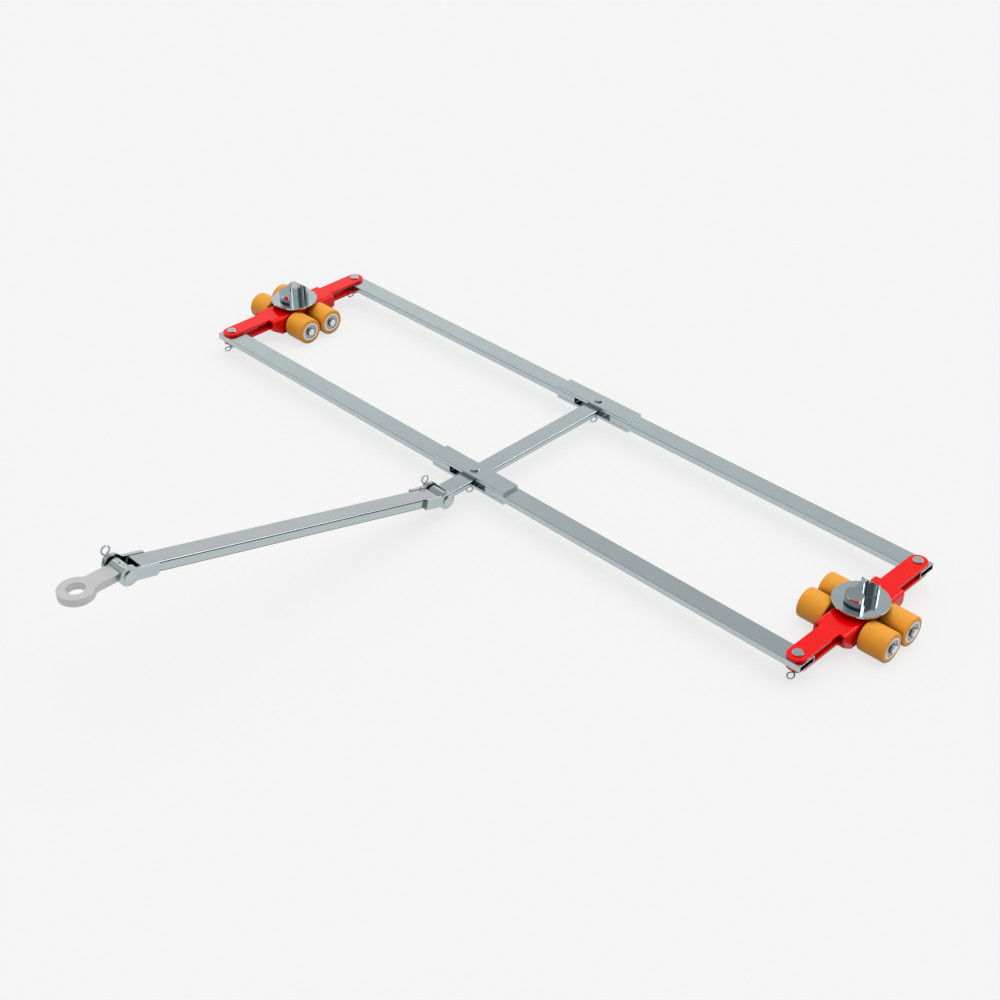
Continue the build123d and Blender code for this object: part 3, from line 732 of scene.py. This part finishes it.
class SKATE_OT_clips(bpy.types.Operator):
    """Bend the wire clips through the ends of the pins"""

    bl_idname = "skate.clips"
    bl_label = "Wire clips"

    def execute(self, context):
        sizes = context.scene.skate_sizes
        wire = plated("plated_wire", context.scene.skate_finishes.wire_zinc)
        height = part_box("front_pivot_pin")[0].z + sizes.above_tip
        rows = [JOINTS[name]["pos_m"][1] for name in ("steer", "rear_pivot")]
        hanging = (0.0, -math.cos(sizes.droop), -math.sin(sizes.droop))
        standing = {
            "front_pivot_clip": ("front_bar", 0.0, rows[:1]),
            "rear_pivot_clip": ("rear_bar", 0.0, rows[1:]),
            "left_link_clips": ("left_skate", JOINTS["left_steer"]["pos_m"][0], rows),
            "right_link_clips": ("right_skate", JOINTS["right_steer"]["pos_m"][0], rows),
        }
        line = clip_wire(sizes, sizes.link_neck, sizes.link_ring)
        for node, (body, x, ys) in standing.items():
            places = [(x, y, height) for y in ys]
            wire_clips(node, body, line, places, hanging, (1.0, 0.0, 0.0), wire)
        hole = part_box("hinge_pins")[0].x + sizes.inside_tip
        places = [(hole, *JOINTS[name]["pos_m"][1:]) for name in ("drawbar_pitch", "eye_pitch")]
        line = clip_wire(sizes, sizes.hinge_neck, sizes.hinge_ring)
        wire_clips("hinge_clips", "drawbar", line, places, (0.0, 0.0, 1.0), (0.0, -1.0, 0.0), wire)
        return {"FINISHED"}


def turning(tree, share_of_b, a, b):
    """Shader a turning into shader b."""
    mix = tree.nodes.new("ShaderNodeMixShader")
    tree.links.new(share_of_b, mix.inputs["Fac"])
    tree.links.new(a, mix.inputs[1])
    tree.links.new(b, mix.inputs[2])
    return mix.outputs["Shader"]


def by_ray(tree, picture, mirrored, light):
    """One shader for what the camera and glass see, one for what metal mirrors, and one for the light."""
    path = tree.nodes.new("ShaderNodeLightPath")
    direct = tree.nodes.new("ShaderNodeMath")
    direct.operation = "MAXIMUM"
    tree.links.new(path.outputs["Is Camera Ray"], direct.inputs[0])
    tree.links.new(path.outputs["Is Transmission Ray"], direct.inputs[1])
    indirect = turning(tree, path.outputs["Is Glossy Ray"], light, mirrored)
    return turning(tree, direct.outputs["Value"], indirect, picture)


def heading(side, height):
    """Direction at an angle round the set from +X, and at an angle above the horizon."""
    return Vector((math.cos(height) * math.cos(side), math.cos(height) * math.sin(side), math.sin(height)))


def studio_patch(tree, towards, middle, reach):
    """One inside a round patch of the studio, falling to nothing over its soft edge."""
    near = tree.nodes.new("ShaderNodeVectorMath")
    near.operation = "DOT_PRODUCT"
    near.inputs[1].default_value = middle
    tree.links.new(towards, near.inputs[0])
    edge = tree.nodes.new("ShaderNodeMapRange")
    edge.interpolation_type = "SMOOTHSTEP"
    edge.inputs["From Min"].default_value = reach[0]
    edge.inputs["From Max"].default_value = reach[1]
    tree.links.new(near.outputs["Value"], edge.inputs["Value"])
    return edge.outputs["Result"]


def background(tree, tone, strength=1.0):
    """An even stretch of the studio's surroundings."""
    node = tree.nodes.new("ShaderNodeBackground")
    node.inputs["Color"].default_value = (*tone, 1.0)
    node.inputs["Strength"].default_value = strength
    return node.outputs["Background"]


def ceiling_share(tree, towards):
    """The ceiling's share over the pale walls, by height."""
    height = tree.nodes.new("ShaderNodeSeparateXYZ")
    tree.links.new(towards, height.inputs["Vector"])
    fade = tree.nodes.new("ShaderNodeValToRGB")
    stops = fade.color_ramp.elements
    while len(stops) < len(CEILING_FADE):
        stops.new(1.0)
    for stop, (sine, share_there) in zip(stops, CEILING_FADE):
        stop.position = sine
        stop.color = (share_there, share_there, share_there, 1.0)
    tree.links.new(height.outputs["Z"], fade.inputs["Fac"])
    return fade.outputs["Color"]


def studio_world(stage):
    """A plain backdrop for the camera, a room with darker and brighter places for metal, an even light."""
    world = bpy.data.worlds.new("studio")
    world.use_nodes = True
    tree = world.node_tree
    tree.nodes.clear()
    towards = tree.nodes.new("ShaderNodeTexCoord").outputs["Generated"]
    near_wall = heading(stage.near_wall_side, stage.near_wall_height)
    blind = heading(stage.blind_side, stage.blind_height)
    glow = heading(stage.glow_side, stage.glow_height)
    overhead = (0.0, 0.0, 1.0)
    layers = (
        (stage.ceiling, 1.0, ceiling_share(tree, towards)),
        (stage.near_wall, 1.0, studio_patch(tree, towards, near_wall, NEAR_WALL_REACH)),
        (stage.blind, 1.0, studio_patch(tree, towards, blind, BLIND_REACH)),
        (stage.backdrop, stage.zenith, studio_patch(tree, towards, overhead, ZENITH_REACH)),
        (stage.backdrop, stage.glow, studio_patch(tree, towards, glow, GLOW_REACH)),
    )
    plain = background(tree, stage.backdrop)
    mirrored = plain
    for tone, strength, edge in layers:
        mirrored = turning(tree, edge, mirrored, background(tree, tone, strength))
    light = background(tree, (1.0, 1.0, 1.0), stage.sky)
    output = tree.nodes.new("ShaderNodeOutputWorld")
    tree.links.new(by_ray(tree, plain, mirrored, light), output.inputs["Surface"])
    bpy.context.scene.world = world


def studio_floor(stage):
    """Pale floor that shows the set's shadow softly, and gives back less light than it shows."""
    mesh = bpy.data.meshes.new("floor")
    corners = [(-FLOOR_REACH, -FLOOR_REACH, 0), (FLOOR_REACH, -FLOOR_REACH, 0)]
    corners += [(-x, -y, z) for x, y, z in corners]
    mesh.from_pydata(corners, [], [range(len(corners))])
    floor = bpy.data.objects.new("floor", mesh)
    bpy.context.scene.collection.objects.link(floor)
    material = bpy.data.materials.new("pale_floor")
    material.use_nodes = True
    tree = material.node_tree
    tree.nodes.clear()
    pale = tree.nodes.new("ShaderNodeBsdfDiffuse")
    pale.inputs["Color"].default_value = (*stage.floor, 1.0)
    dim = tree.nodes.new("ShaderNodeBsdfDiffuse")
    dim.inputs["Color"].default_value = (*darker(stage.floor, FLOOR_BOUNCE), 1.0)
    even = tree.nodes.new("ShaderNodeEmission")
    even.inputs["Color"].default_value = (*stage.backdrop, 1.0)
    seen = tree.nodes.new("ShaderNodeMixShader")
    seen.inputs["Fac"].default_value = FLOOR_SHADOW
    tree.links.new(even.outputs["Emission"], seen.inputs[1])
    tree.links.new(pale.outputs["BSDF"], seen.inputs[2])
    output = tree.nodes.new("ShaderNodeOutputMaterial")
    shader = by_ray(tree, seen.outputs["Shader"], seen.outputs["Shader"], dim.outputs["BSDF"])
    tree.links.new(shader, output.inputs["Surface"])
    mesh.materials.append(material)


def key_light(stage):
    """Broad soft light from one side and above."""
    data = bpy.data.lights.new("key_light", "SUN")
    data.energy = stage.key
    data.angle = stage.key_size
    light = bpy.data.objects.new("key_light", data)
    light.rotation_euler = (QUARTER_TURN - stage.key_height, 0.0, QUARTER_TURN + stage.key_side)
    light.visible_glossy = False
    bpy.context.scene.collection.objects.link(light)


def strip_light(stage):
    """Tall light that shows as a bright line in glossy surfaces, and lights nothing else."""
    data = bpy.data.lights.new("strip_light", "AREA")
    data.shape = "RECTANGLE"
    data.size, data.size_y = STRIP_SIZE
    data.energy = stage.strip * math.prod(STRIP_SIZE) * math.pi
    light = bpy.data.objects.new("strip_light", data)
    away = heading(stage.strip_side, stage.strip_height)
    light.location = away * STRIP_AWAY
    light.rotation_euler = away.to_track_quat("Z", "Y").to_euler()
    light.visible_diffuse = False
    light.visible_camera = False
    bpy.context.scene.collection.objects.link(light)


def studio_camera(stage):
    """Camera at the photograph's viewing angle."""
    data = bpy.data.cameras.new("camera")
    data.lens = stage.lens
    data.sensor_width = SENSOR_WIDTH
    data.clip_end = CAMERA_REACH
    camera = bpy.data.objects.new("camera", data)
    camera.location = stage.camera_place
    camera.rotation_euler = (QUARTER_TURN - stage.elevation, 0.0, stage.azimuth)
    bpy.context.scene.collection.objects.link(camera)
    bpy.context.scene.camera = camera


class SKATE_OT_stage(bpy.types.Operator):
    """Set the studio round the set: its room, pale floor, lights and camera"""

    bl_idname = "skate.stage"
    bl_label = "Studio"

    def execute(self, context):
        stage = context.scene.skate_stage
        studio_world(stage)
        studio_floor(stage)
        key_light(stage)
        strip_light(stage)
        studio_camera(stage)
        context.scene.view_settings.view_transform = "Standard"
        return {"FINISHED"}


PIECE_OPERATORS = (
    SKATE_OT_galvanised,
    SKATE_OT_painted,
    SKATE_OT_turntables,
    SKATE_OT_rollers,
    SKATE_OT_pins,
    SKATE_OT_clips,
)
GROUPS = {"skate_finishes": SkateFinishes, "skate_sizes": SkateSizes, "skate_stage": SkateStage}


class SKATE_PT_sidebar(bpy.types.Panel):
    """Pieces, finishes, sizes and studio of the moving skate set"""

    bl_label = "Moving Skate"
    bl_space_type = "VIEW_3D"
    bl_region_type = "UI"
    bl_category = "Moving Skate"

    def draw(self, context):
        column = self.layout.column()
        for operator in (*PIECE_OPERATORS, SKATE_OT_stage):
            column.operator(operator.bl_idname)
        for name, group in GROUPS.items():
            for key in group.__annotations__:
                column.prop(getattr(context.scene, name), key)


CLASSES = (*GROUPS.values(), *PIECE_OPERATORS, SKATE_OT_stage, SKATE_PT_sidebar)


def register():
    """Register the classes and give the scene its settings."""
    for entry in CLASSES:
        bpy.utils.register_class(entry)
    for key, group in GROUPS.items():
        setattr(bpy.types.Scene, key, PointerProperty(type=group))


def unregister():
    """Take the settings and the classes away again."""
    for key in GROUPS:
        delattr(bpy.types.Scene, key)
    for entry in reversed(CLASSES):
        bpy.utils.unregister_class(entry)


def main():
    """Register the settings, finish and make every piece and set the studio."""
    register()
    bpy.ops.skate.galvanised()
    bpy.ops.skate.painted()
    bpy.ops.skate.turntables()
    bpy.ops.skate.rollers()
    bpy.ops.skate.pins()
    bpy.ops.skate.clips()
    bpy.ops.skate.stage()


if __name__ == "__main__":
    main()
